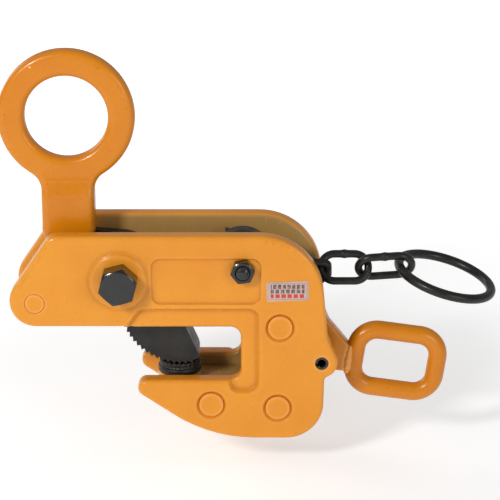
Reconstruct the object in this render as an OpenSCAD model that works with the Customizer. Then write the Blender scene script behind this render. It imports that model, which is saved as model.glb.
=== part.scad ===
// Lateral plate lifting clamp.
// Origin: axis of the cam bolt, half way between the side plates.
// +X points away from the open side of the jaw, +Z up to the lifting eye, Y runs across the plates.
// Outlines are drawn in the XZ plane and given a width across Y.

/* [Side plates] */
// Thickness of each side plate
plate_t = 12; // [11:0.5:13]
// Gap between the side plates
gap = 36; // [36:0.5:38]
// Height of the top edge above the cam bolt
top_z = 28; // [27:0.5:30]
// Height of the underside of the plates
bottom_z = -102.5; // [-105:0.5:-101]
// Depth of the recessed band round the jaw
recess_d = 1.8; // [1:0.1:2.5]
// Depth of the shallow pocket in the outer face
pocket_d = 1; // [0.5:0.1:1.5]

/* [Jaw] */
// Height of the underside of the upper jaw
jaw_upper_z = -30.6; // [-31:0.2:-30]
// Height of the underside of the lobe in front of the jaw
lobe_z = -29.3; // [-30:0.1:-29]
// Height of the top of the lower jaw
jaw_lower_z = -64; // [-65:0.5:-63]
// Closed end of the jaw
throat_x = 73.2; // [72:0.2:75]
// Middle of the swivel pad
pad_x = 35; // [34:0.5:36]
// Diameter of the swivel pad
pad_d = 26.8; // [25:0.2:28]
// Diameter of the pad's stem
stem_d = 12; // [11:0.5:12]

/* [Cam] */
// Diameter of the cam bolt
cam_bolt_d = 14; // [14:0.5:14.5]
// Radius of the toothed arc
cam_arc_r = 37.6; // [36:0.1:37.6]
// Number of teeth on the arc
cam_teeth = 14; // [10:1:16]
// Width of the toothed part
cam_w = 24; // [22:1:26]
// Width of the cam's hub and cheeks
hub_w = 30; // [29:0.5:30]

/* [Lifting eye] */
// Inside diameter of the eye
eye_id = 50; // [48:1:52]
// Outside diameter of the eye
eye_od = 82.5; // [80:0.5:84]
// Thickness of the eye and its shank
eye_t = 16.6; // [15:0.2:16.6]
// Width of the shank
shank_w = 32; // [30:0.5:32]
// Distance from the shackle pin to the middle of the eye
eye_rise = 84.5; // [80:0.5:90]

/* [Release lever and chain] */
// Thickness of the lever's arms
lever_t = 7; // [6:0.5:7]
// Radius of the lever's hub
lever_hub_r = 17.5; // [16:0.5:17.5]
// Wire diameter of the chain links
link_wire = 4.8; // [4:0.1:4.8]
// Outside diameter of the pull ring
pull_od = 65; // [60:1:66]
// Wire diameter of the pull ring
pull_wire = 5.8; // [5:0.1:5.8]

/* [Handle] */
// Rod diameter of the handle loop
rod_d = 11.5; // [10:0.5:12]
// Width of the loop, rod middle to rod middle
loop_w = 51.2; // [48:0.2:54]
// Height of the loop, rod middle to rod middle
loop_h = 37.8; // [36:0.2:40]
// Thickness of the handle arm
arm_t = 12; // [10:1:14]

/* [Fits] */
// Radial clearance of a running pin or shaft
run = 0.05; // [0.03:0.01:0.08]
// Gap beside a moving part
side_gap = 0.1; // [0.1:0.05:0.2]

/* [Hidden] */

$fn = 64;
half_gap = gap / 2;
half_t = half_gap + plate_t;
in_gap = half_gap - side_gap;

// Places in the XZ plane
cam_at = [0, 0];
lobe_at = [-51.1, -14.5];
lever_at = [74.4, 6.9];
rivet_upper_at = [97.1, -30];
rivet_jaw_at = [55.1, -80.1];
rivet_heel_at = [95.8, -82.2];
handle_at = [122.5, -52.9];
shackle_at = [-31.4, 10.2];
drive_at = [19.5, -4.4];

// Fasteners
rivet_d = 15;
rivet_ring_d = 18.6;
lobe_rivet_d = 12;
lobe_ring_d = 14.4;
sleeve_d = 13.5;
tube_d = 24;
boss_r = 17.5;
boss_h = 1;
m14_af = 21;
m14_head = 12;
m8_af = 13;
m8_d = 8;
roll_pin_d = 8;
shackle_d = 10;
drive_d = 6;
press = 0.02;

// Cam
hub_r = 19;
waist_r = 12.5;
bush_od = 17;
cheek_in = eye_t / 2 + 0.4;
cam_slot = lever_t + 1.4;
arc_at = [36.5, -22];
tooth_h = 1.7;

// Lever, chain and handle
lever_hub_w = 12;
lever_bush_od = 12;
fork_tip_r = 5.8;
chain_eye_at = [121, 0, -1];
chain_eye_r = 6.6;
chain_eye_wire = 5.2;
chain_eye_roll = 66;
link_half = 8.5;
inner_link_l = 29.1;
outer_link_l = 32.8;
inner_link_at = [122.4, 0, -1];
inner_link_roll = -30;
outer_link_at = [145.4, 0, -1.3];
outer_link_roll = 29;
outer_link_pitch = 4;
pull_ring_left = [170.3, 0, 1.3];
pull_ring_roll = 4.6;
pull_ring_pitch = 15.7;
loop_at = [169.5, 0, -62.4];
loop_turn = 8;
loop_corner = 13;

// Jaw block and pad
floor_z = -72;
pedestal_z = -68;
pad_low_z = pedestal_z + side_gap;
pad_top_z = -60;
stem_low_z = -82.4;
groove_z = -78;
groove_w = 4.4;
pad_pin_d = 4;

function unit(v) = v / norm(v);

// Points of the arc that rounds corner b, between a and c, with radius r
function corner(a, b, c, r) =
    r == 0 ? [b] :
    let (
        u = unit(a - b),
        w = unit(c - b),
        half = acos(u * w) / 2,
        centre = b + unit(u + w) * r / sin(half),
        first = b + u * r / tan(half) - centre,
        last = b + w * r / tan(half) - centre,
        start = atan2(first.y, first.x),
        turn = atan2(cross(first, last), first * last),
        n = max(1, ceil(abs(turn) / 8))
    )
    [for (i = [0:n]) centre + r * [cos(start + turn * i / n), sin(start + turn * i / n)]];

// Closed outline from corners [x, z, radius]
function rounded(p) = [
    for (i = [0:len(p) - 1])
        let (a = p[(i + len(p) - 1) % len(p)], b = p[i], c = p[(i + 1) % len(p)])
            each corner([a.x, a.y], [b.x, b.y], [c.x, c.y], b.z)
];

// Flat shape of the XZ plane, given a width from y0 to y1
module slab(y0, y1) {
    translate([0, y1, 0])
        rotate([90, 0, 0])
            linear_extrude(height = y1 - y0)
                children();
}

// Round bar or bore along Y
module bar(at, d, y0, y1) {
    translate([at.x, y1, at.y])
        rotate([90, 0, 0])
            cylinder(d = d, h = y1 - y0);
}

// Cone along Y, diameter d0 at y0 and d1 at y1
module cone(at, d0, d1, y0, y1) {
    translate([at.x, y1, at.y])
        rotate([90, 0, 0])
            cylinder(d1 = d1, d2 = d0, h = y1 - y0);
}

// Ring along Y
module tube(at, od, id, y0, y1) {
    difference() {
        bar(at, od, y0, y1);
        bar(at, id, y0 - 1, y1 + 1);
    }
}

// Hexagon bar along Y, af across flats, with one corner turned to angle a
module hexagon(at, af, y0, y1, a) {
    translate([at.x, y1, at.y])
        rotate([90, 0, 0])
            rotate([0, 0, a])
                cylinder(d = af / cos(30), h = y1 - y0, $fn = 6);
}

// Two circles and the straight sides that join them, set a hair inside the common tangents
module link_2d(a, ra, b, rb) {
    inside = 0.995;
    u = unit(b - a);
    n = [-u.y, u.x];
    s = (ra - rb) / norm(b - a);
    c = sqrt(1 - s * s);
    up = inside * (u * s + n * c);
    down = inside * (u * s - n * c);
    polygon([a + ra * up, b + rb * up, b + rb * down, a + ra * down]);
    translate(a)
        circle(ra);
    translate(b)
        circle(rb);
}

// Both sides of a part that is the same in front and behind
module both_sides() {
    children();
    mirror([0, 1, 0])
        children();
}

// ---------- side plates ----------

// Outline of a side plate, from the top left corner
module plate_2d() {
    polygon(rounded([
        [-41.4, top_z, 9],
        [-80.4, lobe_z, 15.8],
        [2, lobe_z, 3],
        [9, jaw_upper_z, 3],
        [throat_x, jaw_upper_z, 6.5],
        [throat_x, jaw_lower_z, 6.5],
        [-1.7, jaw_lower_z, 5.4],
        [54.5, bottom_z, 88],
        [123.5, bottom_z, 23],
        [124.2, -63.2, 3.2],
        [132.3, -58.6, 9.4],
        [132.3, -51, 9],
        [126.1, -36.4, 9],
        [120, top_z, 39]
    ]));
}

// Band round the jaw that is set back from the outer face
module jaw_band_2d() {
    polygon(rounded([
        [1.5, jaw_upper_z - 2, 0],
        [11.4, -17, 6],
        [85.2, -17, 7],
        [85.2, -72.8, 8],
        [67.5, -72.8, 6],
        [64, jaw_lower_z + 2, 0]
    ]));
}

module pocket_2d() {
    polygon(rounded([[19, 14.5, 6], [19, -15.1, 6], [85.8, -15.1, 6], [85.8, 14.5, 6]]));
}

// Hole for a countersunk rivet in the front plate
module rivet_hole(at, d, ring_d) {
    bar(at, d + 2 * press, -half_t - 1, -half_gap + 1);
    cone(at, ring_d, d + 2 * press, -half_t - 0.01, -half_t + 1.6);
}

module side_plate() {
    difference() {
        union() {
            difference() {
                slab(-half_t, -half_gap)
                    plate_2d();
                slab(-half_t - 1, -half_t + recess_d)
                    jaw_band_2d();
                slab(-half_t - 1, -half_t + pocket_d)
                    pocket_2d();
            }
            bar(cam_at, 2 * boss_r, -half_t - boss_h, -half_gap);
        }
        bar(cam_at, cam_bolt_d + 0.2, -half_t - 2, -half_gap + 1);
        bar(lever_at, m8_d + 0.2, -half_t - 1, -half_gap + 1);
        bar(handle_at, roll_pin_d + 2 * press, -half_t - 1, -half_gap + 1);
        rivet_hole(lobe_at, lobe_rivet_d, lobe_ring_d);
        for (at = [rivet_upper_at, rivet_jaw_at, rivet_heel_at])
            rivet_hole(at, rivet_d, rivet_ring_d);
    }
}

module front_side_plate() {
    color("darkorange")
        side_plate();
}

module rear_side_plate() {
    color("orange")
        mirror([0, 1, 0])
            side_plate();
}

// ---------- pieces fixed between the plates ----------

module jaw_spacer_block() {
    color("peru")
        difference() {
            union() {
                slab(-in_gap, in_gap)
                    polygon(rounded([[19, floor_z, 2], [56, -99.5, 60], [80, -99.5, 4], [80, floor_z, 3]]));
                translate([pad_x, 0, floor_z - 1])
                    cylinder(d = pad_d, h = pedestal_z - floor_z + 1);
            }
            translate([pad_x, 0, stem_low_z - 0.5])
                cylinder(d = stem_d + 2 * run, h = 30);
            bar(rivet_jaw_at, rivet_d + 2 * press, -half_gap, half_gap);
            bar(pad_pin_at(), pad_pin_d + 2 * press, -half_gap, half_gap);
        }
}

// The pad's retaining pin runs beside the stem, through its groove
function pad_pin_at() = [pad_x + 6.6, groove_z];

module pad_retaining_pin() {
    color("dimgray")
        tube(pad_pin_at(), pad_pin_d, 2, -in_gap, in_gap);
}

module side_rivets() {
    color("darkorange")
        for (at = [rivet_upper_at, rivet_jaw_at, rivet_heel_at])
            bar(at, rivet_d, -half_t + 0.5, half_t - 0.5);
}

module rivet_spacers() {
    color("gray")
        for (at = [rivet_upper_at, rivet_heel_at])
            tube(at, tube_d, rivet_d + 2 * press, -in_gap, in_gap);
}

module lobe_rivet() {
    color("darkorange")
        bar(lobe_at, lobe_rivet_d, -half_t + 0.5, half_t - 0.5);
}

module lobe_stop_sleeve() {
    color("gray")
        tube(lobe_at, sleeve_d, lobe_rivet_d + 2 * press, -in_gap, in_gap);
}

module cam_bolt() {
    front = -half_t - boss_h;
    color("#333330")
        union() {
            hexagon(cam_at, m14_af, front - m14_head, front, 15.6);
            bar(cam_at, cam_bolt_d, front, half_t + boss_h + 15);
        }
}

module cam_lock_washer() {
    color("#44443f")
        tube(cam_at, 24, cam_bolt_d + 0.2, half_t + boss_h, half_t + boss_h + 2.4);
}

module cam_nut() {
    face = half_t + boss_h + 2.4;
    color("#333330")
        difference() {
            hexagon(cam_at, m14_af, face, face + 11, 0);
            bar(cam_at, cam_bolt_d + 2 * press, face - 1, face + 12);
        }
}

module cam_side_washers() {
    color("silver")
        both_sides()
            tube(cam_at, 30, cam_bolt_d + 0.2, hub_w / 2 + side_gap, in_gap);
}

module lever_bolt() {
    color("#333330")
        union() {
            hexagon(lever_at, m8_af, half_t - pocket_d, half_t - pocket_d + 5.3, 30);
            bar(lever_at, m8_d, -half_t + pocket_d - 8.5, half_t - pocket_d);
        }
}

module lever_nut() {
    color("#333330")
        difference() {
            hexagon(lever_at, m8_af, -half_t + pocket_d - 6.5, -half_t + pocket_d, 8);
            bar(lever_at, m8_d + 2 * press, -half_t - 10, -half_gap);
        }
}

module lever_spacers() {
    color("silver")
        both_sides()
            tube(lever_at, 14, m8_d + 2 * run, lever_hub_w / 2 + side_gap, in_gap);
}

// Round wire swept along a path; side is a direction that the path never runs along
module wire(path, d, side) {
    n = 8;
    last = len(path) - 1;
    points = [
        for (i = [0:last])
            let (
                t = unit(path[min(i + 1, last)] - path[max(i - 1, 0)]),
                p = unit(cross(t, side)),
                q = cross(t, p)
            )
            for (k = [0:n - 1])
                path[i] + d / 2 * (p * cos(360 * k / n) + q * sin(360 * k / n))
    ];
    walls = [
        for (i = [0:last - 1])
            for (k = [0:n - 1])
                let (m = (k + 1) % n)
                    [i * n + k, (i + 1) * n + k, (i + 1) * n + m, i * n + m]
    ];
    ends = [[for (k = [0:n - 1]) k], [for (k = [n - 1:-1:0]) last * n + k]];
    polyhedron(points = points, faces = concat(walls, ends));
}

// Torsion spring: three and a half turns round the rear lever spacer, with a straight leg at each end
module closing_spring() {
    coil_r = 10;
    wire_d = 2.2;
    turns = 3.5;
    steps = 24 * turns;
    coil_y = 8.2;
    pitch = 2.35;
    coil = [
        for (i = [0:steps])
            let (a = 70 - 360 * i / 24)
                [lever_at.x + coil_r * cos(a), coil_y + pitch * i / 24, lever_at.y + coil_r * sin(a)]
    ];
    first_leg = coil[0] + 15 * [-sin(70), 0, cos(70)];
    last_leg = coil[steps] + 17 * [sin(250), 0, -cos(250)];
    color("dimgray")
        wire(concat([first_leg], coil, [last_leg]), wire_d, [0, 1, 0]);
}

module handle_roll_pin() {
    color("#222220")
        tube(handle_at, roll_pin_d, 5, -half_t + 0.3, half_t - 0.3);
}

module handle_spacers() {
    color("silver")
        both_sides()
            tube(handle_at, 14, roll_pin_d + 2 * run, arm_t / 2 + side_gap, in_gap);
}

module rating_sticker() {
    color("whitesmoke")
        translate([101.4, 0, -6.2])
            rotate([0, -2, 0])
                slab(-half_t - 0.25, -half_t)
                    square([25.5, 12.4], center = true);
}

// ---------- cam ----------

// Toothed edge, from the open side round to the tip
function cam_edge() = [
    for (i = [0:cam_teeth])
        let (a = 201 + i * 79 / cam_teeth)
            for (k = [0, 1])
                arc_at + (cam_arc_r - k * tooth_h) * [cos(a + k * 1.6), sin(a + k * 1.6)]
];

module cam_web_2d() {
    polygon(concat(
        [[-17.5, -7], [-4, -24]],
        cam_edge(),
        [[47.4, -55.5], [46.8, -52.4], [39.7, -36.7], [27.6, -9], [19, 3.6], [4, 18]]
    ));
}

// Space for the shank between the cam's cheeks
module shank_slot_2d() {
    reach = 60;
    difference() {
        polygon([for (a = [0, 50, 90, 140, 170, 200]) a == 0 ? [0, 0] : reach * [cos(a), sin(a)]]);
        circle(waist_r + 0.5);
    }
}

// Space for the lever's fork and arm as the cam turns
module lever_slot_2d() {
    fork_space = 8.4;
    arm_space = 7.8;
    hub_space = 8.2;
    reach = 60;
    translate(drive_at) {
        circle(fork_space);
        rotate(-46)
            translate([0, -arm_space])
                square([reach, reach]);
        rotate(20)
            translate([-hub_space, 0])
                square([reach, reach]);
    }
}

module cam() {
    color("#3c3a37")
        difference() {
            union() {
                slab(-hub_w / 2, hub_w / 2)
                    link_2d(cam_at, hub_r, shackle_at, 11.5);
                slab(-cam_w / 2, cam_w / 2)
                    cam_web_2d();
                bar(drive_at, 15, -cam_w / 2, cam_w / 2);
            }
            slab(-cheek_in, cheek_in)
                shank_slot_2d();
            slab(-cam_slot / 2, cam_slot / 2)
                difference() {
                    lever_slot_2d();
                    circle(waist_r);
                }
            bar(cam_at, bush_od + 2 * press, -hub_w, hub_w);
            bar(shackle_at, shackle_d + 2 * run, -hub_w, hub_w);
            bar(drive_at, drive_d + 2 * press, -hub_w, hub_w);
        }
}

module cam_bush() {
    color("goldenrod")
        tube(cam_at, bush_od, cam_bolt_d + 2 * run, -hub_w / 2, hub_w / 2);
}

module cam_drive_pin() {
    color("silver")
        bar(drive_at, drive_d, -cam_w / 2, cam_w / 2);
}

module shackle_pin() {
    color("silver")
        bar(shackle_at, shackle_d, -half_gap + 1, half_gap - 1);
}

module shackle_pin_rings() {
    color("dimgray")
        both_sides()
            tube(shackle_at, 15, shackle_d + 2 * press, hub_w / 2 + side_gap, hub_w / 2 + 1.3);
}

// ---------- lifting eye ----------

module lifting_eye() {
    section = (eye_od - eye_id) / 2;
    round_r = 4;
    half_w = shank_w / 2;
    color("orange")
        translate([shackle_at.x, 0, shackle_at.y])
            difference() {
                union() {
                    translate([0, 0, eye_rise])
                        rotate([90, 0, 0])
                            rotate_extrude()
                                translate([eye_id / 2, 0])
                                    polygon(rounded([
                                        [0, -eye_t / 2, round_r],
                                        [section, -eye_t / 2, round_r],
                                        [section, eye_t / 2, round_r],
                                        [0, eye_t / 2, round_r]
                                    ]));
                    slab(-eye_t / 2, eye_t / 2)
                        union() {
                            circle(12.5);
                            polygon(rounded([
                                [-12.5, 0, 0],
                                [12.5, 0, 0],
                                [half_w + 0.3, 14, 2],
                                [half_w, 43, 12],
                                [half_w + 13, 57, 0],
                                [-half_w - 13, 57, 0],
                                [-half_w, 43, 12],
                                [-half_w + 0.3, 14, 2]
                            ]));
                        }
                }
                bar([0, 0], shackle_d + 2 * run, -eye_t, eye_t);
            }
}

// ---------- release lever, chain and pull ring ----------

module torus(r, d) {
    rotate_extrude()
        translate([r, 0])
            circle(d = d, $fn = 32);
}

// Slot for the drive pin, as long as the pin's travel along the lever
module fork_slot_2d() {
    toward = unit(lever_at - drive_at);
    link_2d(drive_at - 0.3 * toward, drive_d / 2 + 0.15, drive_at + 1.7 * toward, drive_d / 2 + 0.15);
}

module release_lever() {
    color("#3c3a37")
        union() {
            difference() {
                union() {
                    bar(lever_at, 2 * lever_hub_r, -lever_hub_w / 2, lever_hub_w / 2);
                    slab(-lever_t / 2, lever_t / 2) {
                        link_2d(lever_at, 15, drive_at, fork_tip_r);
                        link_2d(lever_at, lever_hub_r - 0.4, [103.4, 0.8], 8);
                    }
                }
                bar(lever_at, lever_bush_od + 2 * press, -10, 10);
                slab(-10, 10)
                    fork_slot_2d();
            }
            translate(chain_eye_at)
                rotate([chain_eye_roll, 0, 0]) {
                    rotate([90, 0, 0])
                        torus(chain_eye_r, chain_eye_wire);
                    translate([-chain_eye_r - 13, -lever_t / 2 + 0.5, -6])
                        cube([12, lever_t - 1, 12]);
                }
        }
}

module lever_bush() {
    color("goldenrod")
        tube(lever_at, lever_bush_od, m8_d + 2 * run, -lever_hub_w / 2, lever_hub_w / 2);
}

// Chain link with its left end at the origin; l is the length between the ends' wire middles
module chain_link(l) {
    side = l - 2 * link_half;
    for (turn = [0, 180])
        translate([l / 2, 0, 0])
            rotate([0, turn, 0])
                translate([side / 2, 0, 0])
                    rotate([90, 0, 0])
                        rotate([0, 0, -90])
                            rotate_extrude(angle = 180)
                                translate([link_half, 0])
                                    circle(d = link_wire, $fn = 32);
    for (z = [-link_half, link_half])
        translate([link_half, 0, z])
            rotate([0, 90, 0])
                cylinder(d = link_wire, h = side, $fn = 32);
}

module chain_link_inner() {
    color("#3a3a36")
        translate(inner_link_at)
            rotate([inner_link_roll, 0, 0])
                chain_link(inner_link_l);
}

module chain_link_outer() {
    color("#444440")
        translate(outer_link_at)
            rotate([0, -outer_link_pitch, 0])
                rotate([outer_link_roll, 0, 0])
                    chain_link(outer_link_l);
}

module pull_ring() {
    r = (pull_od - pull_wire) / 2;
    color("#3a3a36")
        translate(pull_ring_left)
            rotate([pull_ring_roll, pull_ring_pitch, 0])
                translate([r, 0, 0])
                    torus(r, pull_wire);
}

// ---------- handle ----------

// Places the loop's own frame
module at_loop() {
    translate(loop_at)
        rotate([0, loop_turn, 0])
            children();
}

module handle_arm() {
    color("chocolate")
        difference() {
            slab(-arm_t / 2, arm_t / 2)
                polygon(rounded([
                    [110.5, -38, 4],
                    [122, -27.5, 4],
                    [140.5, -50.5, 2],
                    [141.5, -67, 3],
                    [124, -66, 6],
                    [112, -59, 6]
                ]));
            bar(handle_at, roll_pin_d + 2 * run, -arm_t, arm_t);
            at_loop()
                translate([-loop_w / 2, 0, -loop_h])
                    cylinder(d = rod_d + 0.1, h = 2 * loop_h);
        }
}

module handle_loop() {
    side_x = loop_w / 2 - loop_corner;
    side_z = loop_h / 2 - loop_corner;
    color("orange")
        at_loop()
            for (flip = [0, 180])
                rotate([0, flip, 0]) {
                    translate([loop_w / 2, 0, -side_z])
                        cylinder(d = rod_d, h = 2 * side_z);
                    translate([-side_x, 0, loop_h / 2])
                        rotate([0, 90, 0])
                            cylinder(d = rod_d, h = 2 * side_x);
                    for (z = [-1, 1])
                        translate([side_x, 0, z * side_z])
                            rotate([90, 0, 0])
                                rotate([0, 0, z > 0 ? 0 : -90])
                                    rotate_extrude(angle = 90)
                                        translate([loop_corner, 0])
                                            circle(d = rod_d, $fn = 32);
                }
}

// ---------- swivel pad ----------

module jaw_pad() {
    grooves = 24;
    rim_z = pad_top_z - 4;
    color("#2c2c2a")
        translate([pad_x, 0, 0])
            difference() {
                union() {
                    translate([0, 0, pad_low_z])
                        cylinder(d = pad_d, h = rim_z - pad_low_z);
                    translate([0, 0, rim_z])
                        cylinder(d = pad_d - 1.8, h = pad_top_z - rim_z);
                    translate([0, 0, stem_low_z])
                        cylinder(d = stem_d, h = pad_low_z - stem_low_z + 1);
                }
                translate([0, 0, pad_top_z - 1.6])
                    cylinder(d = 13, h = 3);
                translate([0, 0, groove_z])
                    rotate_extrude()
                        translate([stem_d / 2 - 1.6, -groove_w / 2])
                            square([4, groove_w]);
                for (i = [0:grooves - 1])
                    rotate([0, 0, i * 360 / grooves])
                        translate([8, 0, pad_top_z - 0.9])
                            rotate([45, 0, 0])
                                cube([8, 1.6, 1.6]);
            }
}

front_side_plate();
rear_side_plate();
jaw_spacer_block();
side_rivets();
rivet_spacers();
lobe_rivet();
lobe_stop_sleeve();
cam_bolt();
cam_lock_washer();
cam_nut();
cam_side_washers();
lever_bolt();
lever_nut();
lever_spacers();
closing_spring();
handle_roll_pin();
handle_spacers();
pad_retaining_pin();
rating_sticker();
cam();
cam_bush();
cam_drive_pin();
shackle_pin();
shackle_pin_rings();
lifting_eye();
release_lever();
lever_bush();
chain_link_inner();
chain_link_outer();
pull_ring();
handle_arm();
handle_loop();
jaw_pad();
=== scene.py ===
import math

import bmesh
import bpy
import numpy as np
from mathutils import Matrix, Vector
from mathutils.geometry import delaunay_2d_cdt


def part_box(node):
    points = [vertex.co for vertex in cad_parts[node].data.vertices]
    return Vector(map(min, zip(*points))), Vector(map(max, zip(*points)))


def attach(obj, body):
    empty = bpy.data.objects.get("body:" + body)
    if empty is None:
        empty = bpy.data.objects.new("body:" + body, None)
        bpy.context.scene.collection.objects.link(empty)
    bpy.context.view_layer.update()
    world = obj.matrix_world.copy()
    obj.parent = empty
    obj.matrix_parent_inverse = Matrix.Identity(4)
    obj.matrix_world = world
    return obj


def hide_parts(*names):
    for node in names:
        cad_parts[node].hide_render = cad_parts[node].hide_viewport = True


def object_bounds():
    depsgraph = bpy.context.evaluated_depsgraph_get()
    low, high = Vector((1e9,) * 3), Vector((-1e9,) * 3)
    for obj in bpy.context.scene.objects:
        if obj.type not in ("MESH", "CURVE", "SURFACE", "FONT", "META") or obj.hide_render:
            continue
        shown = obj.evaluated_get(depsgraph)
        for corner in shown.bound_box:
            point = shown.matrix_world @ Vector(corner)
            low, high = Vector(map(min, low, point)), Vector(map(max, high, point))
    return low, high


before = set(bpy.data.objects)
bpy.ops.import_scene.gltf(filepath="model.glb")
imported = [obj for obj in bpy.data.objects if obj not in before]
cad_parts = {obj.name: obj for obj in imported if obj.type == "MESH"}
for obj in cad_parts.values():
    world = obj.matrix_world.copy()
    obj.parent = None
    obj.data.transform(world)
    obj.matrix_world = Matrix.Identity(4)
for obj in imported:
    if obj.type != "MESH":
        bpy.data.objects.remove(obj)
cad_low, cad_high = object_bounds()

# Visual model of a plate lifting clamp, built round its CAD frame. The jaw opens to the left, X runs to the
# right, Y to the back and Z up. Lengths are in millimetres, apart from the last section's, and piece() turns
# them into metres.
MM = 0.001
TAU = 2 * math.pi


# ---------- places, read from the frame ----------

def low(node):
    return np.array(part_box(node)[0]) / MM


def high(node):
    return np.array(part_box(node)[1]) / MM


def middle(node):
    return (low(node) + high(node)) / 2


def ends(node):
    """Where a node starts and ends along Y."""
    return low(node)[1], high(node)[1]


def points_of(node):
    return np.array([tuple(v.co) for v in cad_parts[node].data.vertices]) / MM


def nearest_y(node):
    """Smallest distance of a node's points from the mid-plane."""
    return np.abs(points_of(node)[:, 1]).min()


def axis_at(node):
    """Where a node's axis along Y stands in the XZ plane."""
    x, _, z = middle(node)
    return np.array((x, z))


def axes_in(node, reach):
    """Axes along Y of a node's separate parts, each part smaller than reach, from the top down."""
    rest = points_of(node)[:, [0, 2]]
    axes = []
    while len(rest):
        near = np.linalg.norm(rest - rest[0], axis=1) < reach
        axes.append(np.round((rest[near].min(0) + rest[near].max(0)) / 2, 3))
        rest = rest[~near]
    return sorted(axes, key=lambda at: -at[1])


cam_at = axis_at("cam_bush")
lever_at = axis_at("lever_bush")
handle_at = axis_at("handle_roll_pin")
shackle_at = axis_at("shackle_pin")
lobe_at = axis_at("lobe_rivet")
drive_at = axis_at("cam_drive_pin")
pad_pin_at = axis_at("pad_retaining_pin")
rivet_at = axes_in("side_rivets", 20)
face_y = -high("rating_sticker")[1]
gap_y = -high("front_side_plate")[1]
spacer_y = high("rivet_spacers")[1]
top_z = high("front_side_plate")[2]
bottom_z = low("front_side_plate")[2]

# Diameters of round parts. A rivet swells a little as it is set.
CAM_BOLT_D = 14
LEVER_BOLT_D = 8
HANDLE_PIN_D = 8
PAD_PIN_D = 4
SHACKLE_PIN_D = 10
DRIVE_PIN_D = 6
SIDE_RIVET_D = 15
LOBE_RIVET_D = 12
RIVET_SWELL = 0.1

# How much wider a hole is than the round part in it.
PRESSED = 0.04
SLIDING = 0.1
BOLT_PLAY = 0.2
RIVET_PLAY = 0.3


# ---------- outlines in the XZ plane ----------

def unit(v):
    return v / np.linalg.norm(v)


def rounded(corners, step=6, hold=0, closed=True):
    """Outline from corners (x, z, radius); hold adds a point beside each arc, in radii."""
    points = []
    count = len(corners)
    for i, (x, z, r) in enumerate(corners):
        corner = np.array((x, z), float)
        if r == 0 or (not closed and i in (0, count - 1)):
            points.append(corner)
            continue
        back = unit(np.array(corners[i - 1][:2]) - corner)
        on = unit(np.array(corners[(i + 1) % count][:2]) - corner)
        half = math.acos(np.clip(back @ on, -1, 1)) / 2
        centre = corner + unit(back + on) * r / math.sin(half)
        reach = r / math.tan(half)
        first = corner + back * reach - centre
        last = corner + on * reach - centre
        start = math.atan2(first[1], first[0])
        turn = math.atan2(first[0] * last[1] - first[1] * last[0], first @ last)
        steps = max(2, math.ceil(abs(math.degrees(turn)) / step))
        if hold:
            points.append(corner + back * (reach + hold * r))
        for k in range(steps + 1):
            a = start + turn * k / steps
            points.append(centre + r * np.array((math.cos(a), math.sin(a))))
        if hold:
            points.append(corner + on * (reach + hold * r))
    return np.array(points)


def rectangle(x, z, r):
    """Corners of a rectangle about the origin, from its half sizes and the radius of its corners."""
    return [(-x, -z, r), (x, -z, r), (x, z, r), (-x, z, r)]


def arc(centre, r, start, end, step):
    """Points of an arc between two angles in degrees."""
    n = max(2, math.ceil(abs(end - start) / step))
    a = np.radians(np.linspace(start, end, n + 1))
    return np.column_stack((centre[0] + r * np.cos(a), centre[1] + r * np.sin(a)))


def circle(centre, d, count):
    a = np.arange(count) * TAU / count
    return np.column_stack((centre[0] + d / 2 * np.cos(a), centre[1] + d / 2 * np.sin(a)))


def dense(points, spacing):
    """The same closed outline with points added along its long edges and doubled points left out."""
    out = []
    for a, b in zip(points, np.roll(points, -1, 0)):
        length = np.linalg.norm(b - a)
        if length < 0.05:
            continue
        n = math.ceil(length / spacing)
        out += [a + (b - a) * k / n for k in range(n)]
    return np.array(out)


def wound(points, way):
    """The outline turned so that its area has the sign of way."""
    x, z = points.T
    area = np.sum(x * np.roll(z, -1) - np.roll(x, -1) * z)
    return points if area * way > 0 else points[::-1]


def inset(loop, d):
    """The loop moved to its left by d."""
    ahead = np.roll(loop, -1, 0) - loop
    ahead /= np.linalg.norm(ahead, axis=1)[:, None]
    behind = np.roll(ahead, 1, 0)
    left = np.column_stack((-ahead[:, 1], ahead[:, 0]))
    left_behind = np.column_stack((-behind[:, 1], behind[:, 0]))
    out = left + left_behind
    return loop + d * 2 * out / np.sum(out * out, axis=1)[:, None]


def inside(points, loop):
    x, z = points.T
    hit = np.zeros(len(points), bool)
    for (x0, z0), (x1, z1) in zip(loop, np.roll(loop, -1, 0)):
        if z0 == z1:
            continue
        crosses = (z0 > z) != (z1 > z)
        hit ^= crosses & (x < x0 + (z - z0) * (x1 - x0) / (z1 - z0))
    return hit


def distance(points, line, closed=True):
    """Distance from each point to a line of points."""
    ends = np.roll(line, -1, 0) if closed else line[1:]
    best = np.full(len(points), 1e9)
    for a, b in zip(line, ends):
        run = b - a
        t = np.clip((points - a) @ run / max(run @ run, 1e-12), 0, 1)
        gap = points - a - t[:, None] * run
        best = np.minimum(best, np.hypot(gap[:, 0], gap[:, 1]))
    return best


def ramp(d, width):
    """0 below 0, 1 above width, smooth between."""
    t = np.clip(d / width, 0, 1)
    return t * t * (3 - 2 * t)


def wall(d, width):
    """0 below 0, 1 above width, straight between with a small bend at each end."""
    bend = 0.16
    t = np.clip(d / width, 0, 1)
    near_end = np.minimum(t, 1 - t)
    curve = np.where(near_end < bend, near_end ** 2 / (2 * bend), near_end - bend / 2) / (1 - bend)
    return np.where(t < 0.5, curve, 1 - curve)


# ---------- meshes: a shape is (points, faces) ----------

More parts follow.
